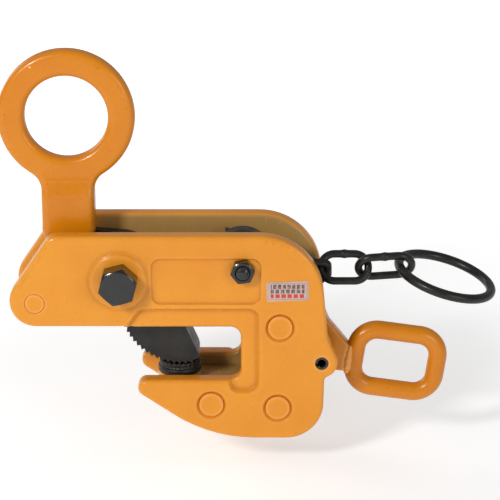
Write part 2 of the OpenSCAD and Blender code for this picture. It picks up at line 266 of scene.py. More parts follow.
def skin(rings, closed=False):
    """Surface through rings of points, with its ends closed, or joined to each other."""
    rings = np.asarray(rings, float)
    m, n = rings.shape[:2]
    faces = []
    for i in range(m if closed else m - 1):
        a = i * n
        b = (i + 1) % m * n
        faces += [(a + k, a + (k + 1) % n, b + (k + 1) % n, b + k) for k in range(n)]
    points = rings.reshape(-1, 3)
    if not closed:
        points = np.vstack((points, rings[0].mean(0), rings[-1].mean(0)))
        last = (m - 1) * n
        faces += [(m * n, (k + 1) % n, k) for k in range(n)]
        faces += [(m * n + 1, last + k, last + (k + 1) % n) for k in range(n)]
    return points, faces


def joined(*shapes):
    points = []
    faces = []
    count = 0
    for p, f in shapes:
        points.append(p)
        faces += [tuple(v + count for v in face) for face in f]
        count += len(p)
    return np.vstack(points), faces


def moved(shape, matrix):
    points, faces = shape
    m = np.array(matrix)
    return points @ m[:3, :3].T + m[:3, 3], faces


def mirrored(shape):
    """The same shape on the other side of the mid-plane."""
    points, faces = shape
    return points * (1, -1, 1), faces


def both_sides(shape):
    """A shape together with its mirror image."""
    return joined(shape, mirrored(shape))


def ring_at(at, radius, y, count):
    """Circle of points about an axis along Y."""
    a = np.arange(count) * TAU / count
    x = at[0] + radius * np.cos(a)
    z = at[1] + radius * np.sin(a)
    return np.column_stack((x, np.broadcast_to(y, count), z))


def pin(at, d, y0, y1, edge, count=48):
    """Round pin along Y with softened ends."""
    core = 0.1 * d
    side = rounded([(core, y0, 0), (d / 2, y0, edge), (d / 2, y1, edge), (core, y1, 0)], step=20, hold=0.4,
                   closed=False)
    radii = np.linspace(core, side[1][0], 5)[:-1]
    profile = [(r, y0) for r in radii] + list(side[1:-1]) + [(r, y1) for r in radii[::-1]]
    return skin([ring_at(at, r, y, count) for r, y in profile])


def tube(at, od, bore, y0, y1, edge=0.4, count=64):
    """Ring or sleeve along Y with softened edges."""
    corners = [(bore / 2, y0, edge), (od / 2, y0, edge), (od / 2, y1, edge), (bore / 2, y1, edge)]
    profile = rounded(corners, step=22, hold=0.4)
    return skin([ring_at(at, r, y, count) for r, y in profile], closed=True)


def lathe(x, rows, count):
    """Round body about an upright axis at x, from rows (radius, height) that may vary round it."""
    a = np.arange(count) * TAU / count
    return skin([np.column_stack((x + r * np.cos(a), r * np.sin(a), np.broadcast_to(z, count)))
                 for r, z in rows])


def hexagon(at, flats, y0, y1, turn, bore=0, chamfer=0.93):
    """Hexagon head or nut from its chamfered face y0 to y1, with a corner at angle turn.

    The chamfer is the round face's share of the flats. A bore makes a nut, chamfered on both faces.
    """
    way = 1 if y1 > y0 else -1
    corner_r = flats / 2 / math.cos(math.pi / 6)
    corners = [(corner_r * math.cos(a), corner_r * math.sin(a), 0.045 * flats)
               for a in (math.radians(turn + 60 * k) for k in range(6))]
    rim = dense(rounded(corners, step=15), flats / 14)
    size = np.hypot(rim[:, 0], rim[:, 1])
    way_out = rim / size[:, None]
    face_r = flats / 2 * chamfer
    inner_r = bore / 2 + 0.5 if bore else 0.3 * face_r
    bevel = 0.12

    def level(radius, drop, y, sign):
        x, z = (way_out * np.broadcast_to(radius, len(rim))[:, None]).T
        return np.column_stack((at[0] + x, y + sign * np.broadcast_to(drop, len(rim)), at[1] + z))

    def face(y, sign, slope):
        rows = [level(inner_r + (face_r - inner_r) * share, 0, y, sign) for share in (0, 0.5, 0.9, 1)]
        for share in (0.06, 0.35, 0.65, 0.93):
            r = face_r + (size - face_r) * share
            rows.append(level(r, (r - face_r) * slope, y, sign))
        drop = (size - face_r) * slope
        rows.append(level(size - bevel, drop, y, sign))
        rows.append(level(size, drop + bevel, y, sign))
        rows.append(level(size, drop + 0.4, y, sign))
        return rows

    rows = face(y0, way, 0.55) + face(y1, -way, 0.55 if bore else 0.1)[::-1]
    if bore:
        rows.append(level(bore / 2, 0.5, y1, -way))
        rows.append(level(bore / 2, 0.5, y0, way))
    return skin(rows, closed=bore > 0)


def threaded(at, d, y0, y1, pitch, count=48):
    """Threaded rod along Y; the end at y1 is chamfered."""
    way = 1 if y1 > y0 else -1
    length = abs(y1 - y0)
    depth = 0.55 * pitch
    turn = np.arange(count) / count
    rings = []
    for s in np.arange(0, length + 1e-6, pitch / 8):
        wave = np.abs((s / pitch - turn) % 1 * 2 - 1)
        end_drop = max(0, s - (length - 0.9 * depth))
        r = np.minimum(d / 2 - depth * wave, d / 2 - end_drop)
        rings.append(ring_at(at, r, y0 + way * s, count))
    return skin(rings)


def sweep(path, radius, sides, closed=True):
    """Round bar along a path; the radius is one number, or one for each point."""
    path = np.asarray(path, float)
    radius = np.broadcast_to(radius, len(path))
    ahead = np.roll(path, -1, 0) - np.roll(path, 1, 0) if closed else np.gradient(path, axis=0)
    ahead /= np.linalg.norm(ahead, axis=1)[:, None]
    # Any direction will do for the first side, as long as no path starts along it.
    side = np.cross(ahead[0], (0.31, 0.85, 0.43))
    turn = np.arange(sides) * TAU / sides
    rings = []
    for p, t, r in zip(path, ahead, radius):
        side = unit(side - t * (side @ t))
        up = np.cross(t, side)
        rings.append(p + r * (np.outer(np.cos(turn), side) + np.outer(np.sin(turn), up)))
    return skin(rings, closed)


def between(points, loops):
    """Which points lie inside the first loop and outside the others."""
    found = inside(points, loops[0])
    for loop in loops[1:]:
        found &= ~inside(points, loop)
    return found


def fill(loops, lines, spacing):
    """Triangles between loops, on a staggered grid that also follows the lines.

    Lines stay clear of the loops, and the grid of both, because close points make slivers. Returns the
    points, the triangles and, for each loop, the numbers of its points.
    """
    blocks = list(loops)
    edges = []
    count = 0
    for loop in loops:
        n = len(loop)
        edges += [(count + k, count + (k + 1) % n) for k in range(n)]
        count += n
    kept_lines = []
    for line in lines:
        ok = between(line, loops)
        for loop in loops:
            ok &= distance(line, loop) > 0.45 * spacing
        numbers = np.where(ok)[0]
        edges += [(count + k, count + k + 1) for k in np.where(np.diff(numbers) == 1)[0].tolist()]
        blocks.append(line[ok])
        kept_lines.append(line[ok])
        count += len(numbers)
    (x0, z0), (x1, z1) = loops[0].min(0), loops[0].max(0)
    rows = []
    for k, z in enumerate(np.arange(z0, z1, spacing * 0.866)):
        x = np.arange(x0 + spacing / 2 * (k % 2), x1, spacing)
        rows.append(np.column_stack((x, np.full(len(x), z))))
    grid = np.vstack(rows)
    grid = grid[between(grid, loops)]
    for loop in loops:
        grid = grid[distance(grid, loop) > 0.6 * spacing]
    for line in kept_lines:
        if len(line) > 1:
            grid = grid[distance(grid, line, closed=False) > 0.5 * spacing]
    blocks.append(grid)
    start = np.vstack(blocks)
    made = delaunay_2d_cdt([Vector(p) for p in start], edges, [], 0, 1e-5)
    made_points, _, made_triangles, sources, _, _ = made
    points = np.array([tuple(v) for v in made_points])
    number = np.zeros(len(start), int)
    for new, olds in enumerate(sources):
        for old in olds:
            number[old] = new
    triangles = np.array(made_triangles)
    triangles = triangles[between(points[triangles].mean(1), loops)]
    own = []
    count = 0
    for loop in loops:
        own.append(number[count:count + len(loop)])
        count += len(loop)
    return points, triangles, own


def strip(a, b):
    """Four-sided faces between two closed rows of point numbers."""
    return [tuple(int(v) for v in f) for f in zip(a, np.roll(a, -1), np.roll(b, -1), b)]


def forging(outline, holes, y_out, y_in, edge, hole_edges=(), relief=None, relief_in=None, lines=(), *,
            spacing, spacing_in=None, arcs=5):
    """Flat body between y_out and y_in with rounded edges.

    A relief gives a face's depth below its plane, and the mesh of such a face follows the lines. The
    inner face has its own spacing only if it is given.
    """
    side = 1 if y_in > y_out else -1
    if not isinstance(hole_edges, (list, tuple)):
        hole_edges = [hole_edges] * len(holes)
    loops = [(wound(outline, 1), edge)]
    loops += [(wound(hole, -1), e) for hole, e in zip(holes, hole_edges)]
    points = []
    faces = []
    count = 0
    rims = []
    both = (y_out, side, relief, spacing), (y_in, -side, relief_in, spacing_in or spacing)
    for y, way, depth_of, gap in both:
        flats = [inset(loop, e) for loop, e in loops]
        flat, triangles, own = fill(flats, lines if depth_of else (), gap)
        depth = depth_of(flat) if depth_of else np.zeros(len(flat))
        points.append(np.column_stack((flat[:, 0], y + way * depth, flat[:, 1])))
        faces += [tuple(t) for t in triangles + count]
        base = count
        count += len(flat)
        rim = []
        for (loop, e), numbers in zip(loops, own):
            before = base + numbers
            for k in range(arcs - 1, -1, -1):
                a = math.pi / 2 * k / arcs
                row = inset(loop, e * (1 - math.cos(a)))
                row_y = y + way * (depth[numbers] + e * (1 - math.sin(a)))
                points.append(np.column_stack((row[:, 0], row_y, row[:, 1])))
                after = count + np.arange(len(loop))
                count += len(loop)
                faces += strip(before, after)
                before = after
            rim.append(before)
        rims.append(rim)
    for a, b in zip(*rims):
        faces += strip(a, b)
    return np.vstack(points), faces


def piece(name, shape, material, node, body="frame"):
    """Makes the object, in metres, riding on a body and standing for a CAD node."""
    points, faces = shape
    mesh = bpy.data.meshes.new(name)
    mesh.from_pydata([tuple(p) for p in points * MM], [], [tuple(int(v) for v in f) for f in faces])
    bm = bmesh.new()
    bm.from_mesh(mesh)
    bmesh.ops.recalc_face_normals(bm, faces=bm.faces)
    bm.to_mesh(mesh)
    bm.free()
    mesh.shade_smooth()
    mesh.materials.append(material)
    made = bpy.data.objects.new(name, mesh)
    bpy.context.scene.collection.objects.link(made)
    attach(made, body)
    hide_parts(node)


# ---------- materials ----------

def srgb(r, g, b):
    """Linear colour from 0-255 display values."""
    linear = [(v / 255 / 12.92) if v <= 10 else ((v / 255 + 0.055) / 1.055) ** 2.4 for v in (r, g, b)]
    return (*linear, 1)


class Finish:
    """A node material with the few building blocks that the finishes share."""

    def __init__(self, name):
        self.material = bpy.data.materials.new(name)
        self.material.use_nodes = True
        self.tree = self.material.node_tree
        self.shader = self.tree.nodes["Principled BSDF"]
        self.place = self.add("ShaderNodeTexCoord").outputs["Object"]
        self.normal = None

    def add(self, kind, links=(), **values):
        made = self.tree.nodes.new(kind)
        for key, value in values.items():
            setattr(made, key, value)
        for socket, value in links:
            self.set(made.inputs[socket], value)
        return made

    def set(self, socket, value):
        if isinstance(value, bpy.types.NodeSocket):
            self.tree.links.new(value, socket)
        else:
            socket.default_value = value

    def noise(self, size, detail):
        """Noise whose features are about size millimetres wide."""
        made = self.add("ShaderNodeTexNoise", [("Vector", self.place), ("Scale", 1 / (size * MM)),
                                               ("Detail", detail), ("Roughness", 0.55)])
        return made.outputs["Fac"]

    def span(self, value, start, end, first=0.0, last=1.0):
        """Maps start..end of a value to first..last."""
        made = self.add("ShaderNodeMapRange", [("Value", value), ("From Min", start), ("From Max", end),
                                               ("To Min", first), ("To Max", last)])
        return made.outputs["Result"]

    def math(self, operation, a, b=0.0):
        return self.add("ShaderNodeMath", [(0, a), (1, b)], operation=operation).outputs[0]

    def mix(self, factor, a, b):
        made = self.add("ShaderNodeMix", [("Factor", factor)], data_type="RGBA")
        colours = [s for s in made.inputs if s.type == "RGBA"]
        self.set(colours[0], a)
        self.set(colours[1], b)
        return [s for s in made.outputs if s.type == "RGBA"][0]

    def bump(self, height, depth, strength):
        """Adds relief of about depth millimetres."""
        links = [("Height", height), ("Distance", depth * MM), ("Strength", strength)]
        if self.normal:
            links.append(("Normal", self.normal))
        self.normal = self.add("ShaderNodeBump", links).outputs["Normal"]
        self.set(self.shader.inputs["Normal"], self.normal)

    def covered(self, reach, within, start, end):
        """Rises from 0 to 1 where surfaces stand closer than reach, outside the metal or within it."""
        made = self.add("ShaderNodeAmbientOcclusion", [("Distance", reach * MM)],
                        samples=6, inside=within, only_local=True)
        return self.span(made.outputs["AO"], start, end)

    def finish(self, **values):
        names = {"colour": "Base Color", "roughness": "Roughness", "metallic": "Metallic",
                 "coat": "Coat Weight", "coat_roughness": "Coat Roughness", "specular": "Specular IOR Level"}
        for key, value in values.items():
            self.set(self.shader.inputs[names[key]], value)
        return self.material


def paint_finish(name, base, deep, light, corner, gap=None):
    """Glossy enamel over forged steel: slight random runs of a deeper tone, a painted highlight on convex
    edges and painted shade in concave corners.

    A gap colour, painted shade of uneven strength, covers the faces between the side plates, except at the
    open left end and at the tip of the jaw.
    """
    f = Finish(name)
    patches = f.span(f.noise(38, 2), 0.35, 0.7)
    colour = f.mix(f.math("MULTIPLY", patches, 0.5), base, deep)
    # Painted highlight: convex edges turn paler.
    colour = f.mix(f.math("MULTIPLY", f.covered(2.2, True, 0.94, 0.6), 0.75), colour, light)
    # Painted shade: concave corners turn darker.
    colour = f.mix(f.math("MULTIPLY", f.covered(3.2, False, 0.95, 0.68), 0.95), colour, corner)
    specks = f.math("MULTIPLY", f.span(f.noise(0.9, 2), 0.70, 0.78), 0.25)
    colour = f.mix(specks, colour, deep)
    # Painted shade between the side plates, noisy in strength, fading out towards the open left end and the
    # jaw's tip.
    if gap:
        axes = f.add("ShaderNodeSeparateXYZ", [("Vector", f.place)]).outputs
        within = f.span(f.math("ABSOLUTE", axes["Y"]), (gap_y + 1) * MM, (gap_y + 0.2) * MM)
        along = f.span(f.math("ADD", axes["X"], f.math("MULTIPLY", axes["Z"], 0.5)), -10 * MM, 0)
        uneven_shade = f.span(f.noise(9, 4), 0.3, 0.7, 0.78, 0.92)
        colour = f.mix(f.math("MULTIPLY", f.math("MULTIPLY", within, along), uneven_shade), colour, gap)
    f.bump(f.noise(9, 3), 0.16, 0.6)
    f.bump(f.noise(2.2, 3), 0.09, 0.7)
    f.bump(f.noise(0.7, 1), 0.014, 0.6)
    return f.finish(colour=colour, roughness=f.span(f.noise(6, 3), 0.3, 0.7, 0.24, 0.36),
                    coat=0.18, coat_roughness=0.07, specular=0.33)


def dark_finish(name, base, light, roughness, grain, depth, metallic, coat=0):
    """Blackened steel with grain at one scale, paler where handling has rubbed the edges."""
    f = Finish(name)
    colour = f.mix(f.span(f.noise(grain * 5, 3), 0.35, 0.7, 0, 0.6), base, light)
    colour = f.mix(f.math("MULTIPLY", f.covered(0.8, True, 0.85, 0.5), 0.3), colour, srgb(110, 107, 102))
    f.bump(f.noise(grain, 4), depth, 0.7)
    f.bump(f.noise(grain / 4, 2), depth / 5, 0.6)
    return f.finish(colour=colour, metallic=metallic, coat=coat, coat_roughness=0.08,
                    roughness=f.span(f.noise(grain * 2, 3), 0.3, 0.7, roughness - 0.07, roughness + 0.09))


def bare_finish(name, base, deep, roughness):
    """Machined metal, slightly blotched."""
    f = Finish(name)
    colour = f.mix(f.span(f.noise(5, 3), 0.3, 0.7), base, deep)
    f.bump(f.noise(0.5, 2), 0.01, 0.5)
    f.bump(f.noise(3, 3), 0.02, 0.5)
    return f.finish(colour=colour, metallic=1.0,
                    roughness=f.span(f.noise(2, 3), 0.3, 0.7, roughness - 0.08, roughness + 0.1))


# The plates wear a lighter shade of the CAD's orange_paint than the eye and the handle.
# Pale painted highlight for convex edges and dark painted shade for concave corners.
painted_edge_light_and_shade = srgb(244, 174, 92), srgb(172, 88, 12)
orange_paint = paint_finish("orange_paint", srgb(214, 130, 5), srgb(202, 112, 3), *painted_edge_light_and_shade)
# The plates' gap colour is painted shade between the plates.
plate_paint = paint_finish("plate_paint", srgb(229, 149, 36), srgb(219, 132, 26), *painted_edge_light_and_shade,
                           gap=srgb(162, 134, 82))
black_oxide = dark_finish("black_oxide", srgb(20, 20, 20), srgb(34, 33, 33), 0.24, grain=1.6, depth=0.02,
                          metallic=0.15, coat=0.4)
forged_black = dark_finish("forged_black", srgb(28, 27, 25), srgb(50, 48, 45), 0.42, grain=2.6, depth=0.14,
                           metallic=0.2)
chain_black = dark_finish("chain_black", srgb(26, 26, 25), srgb(44, 43, 41), 0.32, grain=1.8, depth=0.05,
                          metallic=0.3)
plain_steel = bare_finish("plain_steel", srgb(172, 170, 164), srgb(140, 137, 130), 0.36)
bronze = bare_finish("bronze", srgb(186, 142, 78), srgb(150, 106, 52), 0.38)

# Half the sticker's length and height.
STICKER_X = 12.7
STICKER_Z = 6.15


def sticker_finish():
    """Pale film with a printed frame, two rows of plain dark blocks and one red row."""
    f = Finish("sticker_film")
    centre = middle("rating_sticker") * MM
    turned = f.add("ShaderNodeMapping", [("Vector", f.place), ("Location", tuple(-centre))])
    parts = f.add("ShaderNodeSeparateXYZ", [("Vector", turned.outputs[0])])
    margin = 0.05
    x = f.math("DIVIDE", parts.outputs["X"], (STICKER_X + margin) * MM)
    z = f.math("DIVIDE", parts.outputs["Z"], (STICKER_Z + margin) * MM)

    def band(value, mid, half):
        return f.math("LESS_THAN", f.math("ABSOLUTE", f.math("SUBTRACT", value, mid)), half)

    def blocks(mid, half, count, seed):
        cell = f.math("FRACT", f.math("ADD", f.math("MULTIPLY", x, count / 2), seed))
        bars = f.math("MULTIPLY", band(cell, 0.45, 0.36), band(x, 0, 0.8))
        return f.math("MULTIPLY", bars, band(z, mid, half))

    ring = f.math("SUBTRACT", f.math("MULTIPLY", band(x, 0, 0.93), band(z, 0, 0.86)),
                  f.math("MULTIPLY", band(x, 0, 0.905), band(z, 0, 0.8)))
    colour = f.mix(f.span(f.noise(4, 2), 0.3, 0.7), srgb(206, 176, 164), srgb(196, 164, 152))
    grey = f.math("ADD", blocks(0.48, 0.22, 9, 0.15), blocks(0.0, 0.2, 8, 0.4))
    grey = f.math("MULTIPLY", grey, f.span(f.noise(0.8, 3), 0.38, 0.5, 0.35, 1.0))
    colour = f.mix(grey, colour, srgb(78, 62, 60))
    colour = f.mix(blocks(-0.48, 0.2, 7, 0.1), colour, srgb(196, 58, 48))
    colour = f.mix(f.math("MULTIPLY", ring, 0.6), colour, srgb(120, 96, 92))
    f.bump(f.noise(3, 2), 0.02, 0.4)
    return f.finish(colour=colour, roughness=0.3, coat=0.3, coat_roughness=0.1)


sticker_film = sticker_finish()

# ---------- side plates ----------

# Levels are measured from the outer face, and a wall is the width of the slope between two levels.
PLATE_EDGE = 2.6
PLATE_SPACING = 1.3
BAND_DEPTH = 3.0
BAND_WALL = 2.5
POCKET_DEPTH = 1.0
POCKET_WALL = 1.1
BOSS_R = 17.5
BOSS_RISE = 1.0
BOSS_WALL = 1.6
SINK_WALL = 1.1

# The sunk band round the jaw: from the upper jaw's edge, round the opening, to the lower jaw's edge.
BAND = [(1.5, -32, 0), (11.4, -17, 6), (85.2, -17, 7), (85.2, -72.8, 8), (67.5, -72.8, 6), (64, -62, 0)]
POCKET = [(19, 14.5, 6), (19, -15.1, 6), (85.8, -15.1, 6), (85.8, 14.5, 6)]
band_line = dense(rounded(BAND, step=8), PLATE_SPACING)
band_sides = rounded(BAND, closed=False)
pocket_line = dense(rounded(POCKET, step=8), PLATE_SPACING)

# Round sinks over the rivets: place, radius of the floor, depth.
sinks = [(at, 8.2, 1.7) for at in rivet_at] + [(lobe_at, 6.2, 0.5)]


def plate_outline():
    """C shape, from the upper left corner round the lobe, the jaw opening and the back."""
    return dense(rounded([
        (-41.4, top_z, 9), (-80.4, -29.3, 15.8), (2, -29.3, 3), (9, -30.6, 3), (73.2, -30.6, 6.5),
        (73.2, -64, 6.5), (-1.7, -64, 5.4), (54.5, bottom_z, 88), (123.5, bottom_z, 23),
        (124.2, -63.2, 3.2), (132.3, -58.6, 9.4), (132.3, -51, 9), (126.1, -36.4, 9), (120, top_z, 39),
    ], step=5), PLATE_SPACING)


def depth_in(points, line, sides, closed, width):
    """Wall into a sunk area: 0 on its border and outside, 1 where its floor starts."""
    return wall(np.where(inside(points, line), distance(points, sides, closed), 0), width)


def plate_relief(points):
    """Band, pocket, boss with a rim round its foot, sinks, and the slight waves of a forging."""
    x, z = points.T
    depth = BAND_DEPTH * depth_in(points, band_line, band_sides, False, BAND_WALL)
    depth += POCKET_DEPTH * depth_in(points, pocket_line, pocket_line, True, POCKET_WALL)
    r = np.hypot(x - cam_at[0], z - cam_at[1])
    depth -= BOSS_RISE * (1 - wall(r - BOSS_R + BOSS_WALL, BOSS_WALL))
    depth += 0.35 * np.exp(-((r - BOSS_R - 0.6) / 0.6) ** 2)
    for at, floor_r, deep in sinks:
        r = np.hypot(x - at[0], z - at[1])
        depth += deep * (1 - wall(r - floor_r, SINK_WALL))
    depth += 0.05 * np.sin(0.19 * x + 1.3) * np.sin(0.16 * z + 0.4) + 0.03 * np.sin(0.33 * x - 0.27 * z)
    return depth


def plate_lines():
    """Lines that the mesh follows, at shares of each wall's width."""
    lines = []
    for loop, width in ((wound(band_line, 1), BAND_WALL), (wound(pocket_line, 1), POCKET_WALL)):
        for share in (-0.1, 0, 0.16, 0.5, 0.84, 1, 1.1):
            line = inset(loop, width * share)
            lines.append(np.vstack((line, line[:1])))
    for share in (-0.1, 0, 0.2, 0.8, 1, 1.4, 2):
        lines.append(circle(cam_at, 2 * (BOSS_R - BOSS_WALL + BOSS_WALL * share), 96))
    for at, floor_r, _ in sinks:
        for share in (0, 0.16, 0.5, 0.84, 1, 1.3):
            lines.append(circle(at, 2 * (floor_r + SINK_WALL * share), 72))
    return lines


def side_plate():
    """The front plate: its outer face carries the relief, its inner face is plain."""
    bores = [(cam_at, CAM_BOLT_D + BOLT_PLAY, 48, 0.3), (lever_at, LEVER_BOLT_D + BOLT_PLAY, 32, 0.3),
             (handle_at, HANDLE_PIN_D + SLIDING, 32, 0.5), (lobe_at, LOBE_RIVET_D + RIVET_PLAY, 48, 0.4)]
    bores += [(at, SIDE_RIVET_D + RIVET_PLAY, 56, 0.4) for at in rivet_at]
    holes = [circle(at, d, count) for at, d, count, _ in bores]
    edges = [edge for *_, edge in bores]
    return forging(plate_outline(), holes, -face_y, -gap_y, PLATE_EDGE, edges, relief=plate_relief,
                   lines=plate_lines(), spacing=1.4, spacing_in=6)


front = side_plate()
piece("front_plate_forging", front, plate_paint, "front_side_plate")
piece("rear_plate_forging", mirrored(front), plate_paint, "rear_side_plate")

# ---------- rivets, spacers and block between the plates ----------


def rivet(at, d, count):
    """Rivet whose flush heads end just under the plates' faces."""
    head_y = face_y - 0.1
    return pin(at, d + RIVET_SWELL, -head_y, head_y, 0.8, count)


def spacer(at, od, rivet_d, edge):
    """Tube round a rivet that fills the gap between the plates."""
    return tube(at, od, rivet_d + PRESSED, -spacer_y, spacer_y, edge)


piece("side_rivet_set", joined(*[rivet(at, SIDE_RIVET_D, 64) for at in rivet_at]), plate_paint, "side_rivets")
piece("lobe_rivet_round", rivet(lobe_at, LOBE_RIVET_D, 48), plate_paint, "lobe_rivet")
tubes = [spacer(at, 24, SIDE_RIVET_D, 0.8) for at in (rivet_at[0], rivet_at[2])]
piece("rivet_spacer_tubes", joined(*tubes), plain_steel, "rivet_spacers")
piece("lobe_sleeve", spacer(lobe_at, 13.5, LOBE_RIVET_D, 0.4), plain_steel, "lobe_stop_sleeve")

PAD_R = 13.4
PAD_STEM_R = 6.0
PAD_SEAT_Z = round(high("jaw_spacer_block")[2], 3)


def jaw_block():
    """Block between the lower jaws, with a round boss and socket for the pad."""
    floor_z = PAD_SEAT_Z - 4
    foot_z = round(low("jaw_spacer_block")[2], 3)
    corners = [(19, floor_z, 2), (56, foot_z, 60), (80, foot_z, 4), (80, floor_z, 3)]
    body = forging(dense(rounded(corners), 2.5), [], -spacer_y, spacer_y, 1.2, spacing=4)
    socket_r = PAD_STEM_R + 0.05
    rows = [(PAD_R, floor_z - 1), (PAD_R, PAD_SEAT_Z - 0.8), (PAD_R - 0.25, PAD_SEAT_Z - 0.25),
            (PAD_R - 0.8, PAD_SEAT_Z), (8, PAD_SEAT_Z), (socket_r + 0.55, PAD_SEAT_Z),
            (socket_r, PAD_SEAT_Z - 0.5), (socket_r, PAD_SEAT_Z - 3.5), (4, PAD_SEAT_Z - 3.5)]
    return joined(body, lathe(middle("jaw_pad")[0], rows, 72))


piece("jaw_block_forging", jaw_block(), plate_paint, "jaw_spacer_block")

# ---------- fasteners ----------

M14_FLATS = 21
M14_PITCH = 2
M8_FLATS = 13
M8_PITCH = 1.25


def cam_bolt():
    face, tip = ends("cam_bolt")
    seat, _ = ends("front_side_plate")
    _, nut_end = ends("cam_nut")
    head = hexagon(cam_at, M14_FLATS, face, seat, 15.6, chamfer=0.95)
    shank = pin(cam_at, CAM_BOLT_D, seat - 1, nut_end - 1, 0.2)
    return joined(head, shank, threaded(cam_at, CAM_BOLT_D - 0.1, nut_end - 2, tip, M14_PITCH))


def lever_bolt():
    """The M8 bolt's head is at the back, and its nut and tip show in front."""
    tip, head_face = ends("lever_bolt")
    nut_face, _ = ends("lever_nut")
    seat = face_y - POCKET_DEPTH
    head = hexagon(lever_at, M8_FLATS, head_face, seat, 30)
    shank = pin(lever_at, LEVER_BOLT_D, nut_face + 1, seat + 0.5, 0.2, 40)
    return joined(head, shank, threaded(lever_at, LEVER_BOLT_D - 0.05, nut_face + 2, tip, M8_PITCH, 40))


lock_washer = tube(cam_at, 24, CAM_BOLT_D + BOLT_PLAY, *ends("cam_lock_washer"))
cam_nut = hexagon(cam_at, M14_FLATS, *ends("cam_nut")[::-1], 0, bore=CAM_BOLT_D + PRESSED)
thrust_washer = tube(cam_at, 30, CAM_BOLT_D + BOLT_PLAY, nearest_y("cam_side_washers"), spacer_y)
lever_nut = hexagon(lever_at, M8_FLATS, *ends("lever_nut"), 8, bore=LEVER_BOLT_D + PRESSED)
piece("cam_bolt_m14", cam_bolt(), black_oxide, "cam_bolt")
piece("cam_lock_washer_ring", lock_washer, black_oxide, "cam_lock_washer")
piece("cam_nut_m14", cam_nut, black_oxide, "cam_nut")
piece("cam_thrust_washers", both_sides(thrust_washer), plain_steel, "cam_side_washers")
piece("lever_bolt_m8", lever_bolt(), black_oxide, "lever_bolt")
piece("lever_nut_m8", lever_nut, black_oxide, "lever_nut")


def pair_of_spacers(node, at, bore):
    """Spacer rings against both plates."""
    return both_sides(tube(at, 14, bore, nearest_y(node), spacer_y, 0.35))


lever_spacers = pair_of_spacers("lever_spacers", lever_at, LEVER_BOLT_D + SLIDING)
handle_spacers = pair_of_spacers("handle_spacers", handle_at, HANDLE_PIN_D + SLIDING)
piece("lever_spacer_pair", lever_spacers, plain_steel, "lever_spacers")
piece("handle_spacer_pair", handle_spacers, plain_steel, "handle_spacers")


def rolled_pin(at, od, strip_t, node, seam_angle):
    """Spring pin rolled from strip, as long as a node, with an open seam 40 degrees wide."""
    first = seam_angle + 20
    last = seam_angle + 340
    outer = arc(at, od / 2, first, last, 8)
    bore = arc(at, od / 2 - strip_t, last, first, 8)
    return forging(np.vstack((outer, bore)), [], *ends(node), 0.25, spacing=0.8, arcs=3)


handle_pin = rolled_pin(handle_at, HANDLE_PIN_D, 1.5, "handle_roll_pin", 200)
pad_pin = rolled_pin(pad_pin_at, PAD_PIN_D, 0.9, "pad_retaining_pin", 90)
piece("handle_spring_pin", handle_pin, black_oxide, "handle_roll_pin")
piece("pad_spring_pin", pad_pin, black_oxide, "pad_retaining_pin")


def closing_spring():
    """Coil round the lever's axis with two straight legs."""
    coil_r = 10
    turns = 3.5
    steps = 150
    wire_r = 1.08
    start_y, end_y = ends("closing_spring")
    margin = 1.1
    y = np.linspace(start_y + margin, end_y - margin, steps)
    first_a = math.radians(70)
    a = first_a - TAU * np.linspace(0, turns, steps)
    coil = np.column_stack((lever_at[0] + coil_r * np.cos(a), y, lever_at[1] + coil_r * np.sin(a)))
    first = coil[0] + 15 * np.array((-math.sin(first_a), 0, math.cos(first_a)))
    last = coil[-1] + 17 * np.array((math.sin(a[-1]), 0, -math.cos(a[-1])))
    first_leg = [first + (coil[0] - first) * t for t in np.linspace(0, 0.95, 8)]
    last_leg = [coil[-1] + (last - coil[-1]) * t for t in np.linspace(0.05, 1, 8)]
    return sweep(np.vstack((first_leg, coil, last_leg)), wire_r, 14, closed=False)


piece("closing_spring_wire", closing_spring(), forged_black, "closing_spring")


def rating_sticker():
    """Thin film on the front plate, stuck on a little askew."""
    low_y, _ = ends("rating_sticker")
    x, _, z = middle("rating_sticker")
    outline = dense(rounded(rectangle(STICKER_X, STICKER_Z, 0.8), step=15), 1.5)
    film = forging(outline, [], low_y, -face_y + 0.12, 0.08, spacing=1.5, spacing_in=3, arcs=2)
    return moved(film, Matrix.Translation((x, 0, z)) @ Matrix.Rotation(math.radians(-2), 4, "Y"))


piece("rating_sticker_film", rating_sticker(), sticker_film, "rating_sticker")

# ---------- cam and its pins ----------


def keep(node, material, bevel):
    """Shows a CAD node as it is, with softened edges and a full finish."""
    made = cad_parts[node]
    made.data.shade_smooth()
    for entry in made.material_slots:
        entry.link = "OBJECT"
        entry.material = material
    weld = made.modifiers.new("weld", "WELD")
    weld.merge_threshold = 0.001 * MM
    flats = made.modifiers.new("flats", "DECIMATE")
    flats.decimate_type = "DISSOLVE"
    flats.angle_limit = math.radians(1)
    soft = made.modifiers.new("soft", "BEVEL")
    soft.width = bevel * MM
    soft.segments = 3
    soft.limit_method = "ANGLE"
    soft.angle_limit = math.radians(25)
    soft.harden_normals = True
    made.modifiers.new("normals", "WEIGHTED_NORMAL")


keep("cam", forged_black, 0.35)
cam_bush = tube(cam_at, 17, CAM_BOLT_D + SLIDING, *ends("cam_bush"))
drive_pin = pin(drive_at, DRIVE_PIN_D, *ends("cam_drive_pin"), 0.5, 36)
shackle_pin = pin(shackle_at, SHACKLE_PIN_D, *ends("shackle_pin"), 0.8)
_, clip_end = ends("shackle_pin_rings")
clip = tube(shackle_at, 15, SHACKLE_PIN_D + PRESSED, nearest_y("shackle_pin_rings"), clip_end, 0.3)
piece("cam_bush_sleeve", cam_bush, bronze, "cam_bush", "cam")
piece("cam_drive_pin_round", drive_pin, plain_steel, "cam_drive_pin", "cam")
piece("shackle_pin_round", shackle_pin, plain_steel, "shackle_pin", "shackle_pin")
piece("shackle_pin_clips", both_sides(clip), black_oxide, "shackle_pin_rings", "shackle_pin")

# ---------- lifting eye ----------

